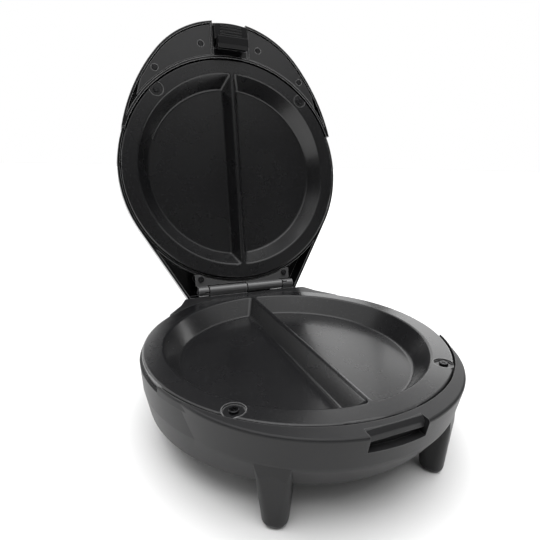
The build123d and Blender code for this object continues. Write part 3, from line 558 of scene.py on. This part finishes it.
@dataclass
class Studio:
    """Pale floor, soft lights and the camera at the photograph's angle.

    Attributes:
        camera_at: Camera's place in metres.
        camera_turn: Camera's rotation in degrees.
        focal_pixels: Focal length in pixels of the photograph's frame.
        centre: Principal point in pixels of the photograph's frame.
        floor_half: Half the floor's width in metres.
        floor_tone: How pale the floor is.
        floor_roughness: Roughness of the floor.
        floor_gloss: Specular level of the floor.
        lights_aim: Point in metres that the soft boxes and cards face.
        dome_edges: Heights of a direction between which the dome brightens.
        dome_levels: Strength of the dome near the horizon and higher up.
        crown_edges: Heights of a direction between which the soft light overhead begins.
        crown_level: Strength that the soft light overhead adds.
        fill_level: Strength of the even light that brightens the floor.
        fill_spread: How many degrees that light spreads over.
    """

    camera_at: Place = (-0.12402, -0.29368, 0.18108)
    camera_turn: tuple[float, float, float] = (78.2303, -1.0589, -23.1835)
    focal_pixels: float = 408.30
    centre: tuple[float, float] = (280.33, 251.30)
    floor_half: float = 30.0
    floor_tone: float = 0.62
    floor_roughness: float = 0.9
    floor_gloss: float = 0.1
    lights_aim: Place = (0.0, 0.0, 0.12)
    dome_edges: tuple[float, float] = (0.42, 0.66)
    dome_levels: tuple[float, float] = (0.10, 0.95)
    crown_edges: tuple[float, float] = (0.80, 0.92)
    crown_level: float = 1.2
    fill_level: float = 4.2
    fill_spread: float = 75.0

    def floor(self) -> None:
        """Lays the pale floor."""
        half = self.floor_half
        square = [(-half, -half, 0), (half, -half, 0), (half, half, 0), (-half, half, 0)]
        mesh = bpy.data.meshes.new("studio_floor")
        mesh.from_pydata(square, [], [(0, 1, 2, 3)])
        floor = bpy.data.objects.new("studio_floor", mesh)
        bpy.context.scene.collection.objects.link(floor)
        material = bpy.data.materials.new("pale_floor")
        material.use_nodes = True
        shader = material.node_tree.nodes["Principled BSDF"]
        shader.inputs["Base Color"].default_value = (self.floor_tone, self.floor_tone, self.floor_tone, 1.0)
        shader.inputs["Roughness"].default_value = self.floor_roughness
        shader.inputs["Specular IOR Level"].default_value = self.floor_gloss
        mesh.materials.append(material)

    @staticmethod
    def band(graph: Graph, height: bpy.types.NodeSocket, edges: tuple[float, float],
             levels: tuple[float, float]) -> bpy.types.NodeSocket:
        """Steps softly from one level of light to another as a direction rises.

        Args:
            graph: The world's graph.
            height: The direction's height, from -1 to 1.
            edges: Heights between which the level changes.
            levels: The level below and above.

        Returns:
            The strength's output socket.
        """
        step = graph.add("ShaderNodeMapRange", clamp=True, interpolation_type="SMOOTHSTEP")
        graph.link(height, step.inputs["Value"])
        for name, value in zip(("From Min", "From Max", "To Min", "To Max"), (*edges, *levels)):
            step.inputs[name].default_value = value
        return step.outputs["Result"]

    def world(self) -> None:
        """Makes a soft dome, bright overhead and dim near the horizon, with a white backdrop."""
        world = bpy.data.worlds.new("studio_world")
        world.use_nodes = True
        graph = Graph(world.node_tree)
        dome = world.node_tree.nodes["Background"]
        place = graph.add("ShaderNodeTexCoord")
        parts = graph.add("ShaderNodeSeparateXYZ")
        graph.link(place.outputs["Generated"], parts.inputs["Vector"])
        sides = self.band(graph, parts.outputs["Z"], self.dome_edges, self.dome_levels)
        crown = self.band(graph, parts.outputs["Z"], self.crown_edges, (0.0, self.crown_level))
        graph.link(graph.calculate("ADD", sides, crown), dome.inputs["Strength"])
        dome.inputs["Color"].default_value = WHITE
        backdrop = graph.add("ShaderNodeBackground")
        backdrop.inputs["Color"].default_value = WHITE
        backdrop.inputs["Strength"].default_value = 1.0
        rays = graph.add("ShaderNodeLightPath")
        choice = graph.add("ShaderNodeMixShader")
        graph.link(rays.outputs["Is Camera Ray"], choice.inputs["Fac"])
        graph.link(dome.outputs["Background"], choice.inputs[1])
        graph.link(backdrop.outputs["Background"], choice.inputs[2])
        graph.link(choice.outputs["Shader"], world.node_tree.nodes["World Output"].inputs["Surface"])
        bpy.context.scene.world = world

    def area_light(self, light: SoftLight) -> None:
        """Adds a soft box or a card that shows only as a reflection.

        Args:
            light: Its name, place, size and level.
        """
        data = bpy.data.lights.new(light.name, "AREA")
        data.shape = "RECTANGLE"
        data.size, data.size_y = light.size
        data.energy = light.level * math.pi * light.size[0] * light.size[1]
        lamp = bpy.data.objects.new(light.name, data)
        lamp.location = light.at
        aim = Vector(self.lights_aim) - Vector(light.at)
        lamp.rotation_euler = aim.to_track_quat("-Z", "Y").to_euler()
        lamp.visible_camera = False
        lamp.visible_diffuse = not light.card
        bpy.context.scene.collection.objects.link(lamp)

    def overhead_fill(self) -> None:
        """Adds an even soft light from overhead that shows in no reflection."""
        data = bpy.data.lights.new("overhead_fill", "SUN")
        data.energy = self.fill_level
        data.angle = math.radians(self.fill_spread)
        lamp = bpy.data.objects.new("overhead_fill", data)
        lamp.visible_glossy = False
        bpy.context.scene.collection.objects.link(lamp)

    def camera(self) -> None:
        """Sets the camera up as the photograph was taken."""
        data = bpy.data.cameras.new("photo_camera")
        data.sensor_width = SENSOR_MM
        data.lens = SENSOR_MM * self.focal_pixels / PHOTO_PIXELS
        data.shift_x = (PHOTO_PIXELS / 2 - self.centre[0]) / PHOTO_PIXELS
        data.shift_y = (self.centre[1] - PHOTO_PIXELS / 2) / PHOTO_PIXELS
        camera = bpy.data.objects.new("photo_camera", data)
        camera.location = self.camera_at
        camera.rotation_euler = Euler([math.radians(a) for a in self.camera_turn], "XYZ")
        bpy.context.scene.collection.objects.link(camera)
        bpy.context.scene.camera = camera

    def build(self) -> None:
        """Builds the whole studio."""
        self.floor()
        self.world()
        for light in SOFT_LIGHTS:
            self.area_light(light)
        self.overhead_fill()
        bpy.context.scene.view_settings.view_transform = "Standard"
        self.camera()
        LOG.info("studio and camera ready")


def main() -> None:
    """Loads the frame, dresses it and sets up the studio."""
    logging.basicConfig(level=logging.INFO, format="%(name)s: %(message)s")
    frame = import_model()
    effects = EffectLibrary()
    Dresser(frame["nodes"], effects).dress()
    LatchSpring().build(frame["nodes"]["latch_spring"])
    Studio().build()


if __name__ == "__main__":
    main()
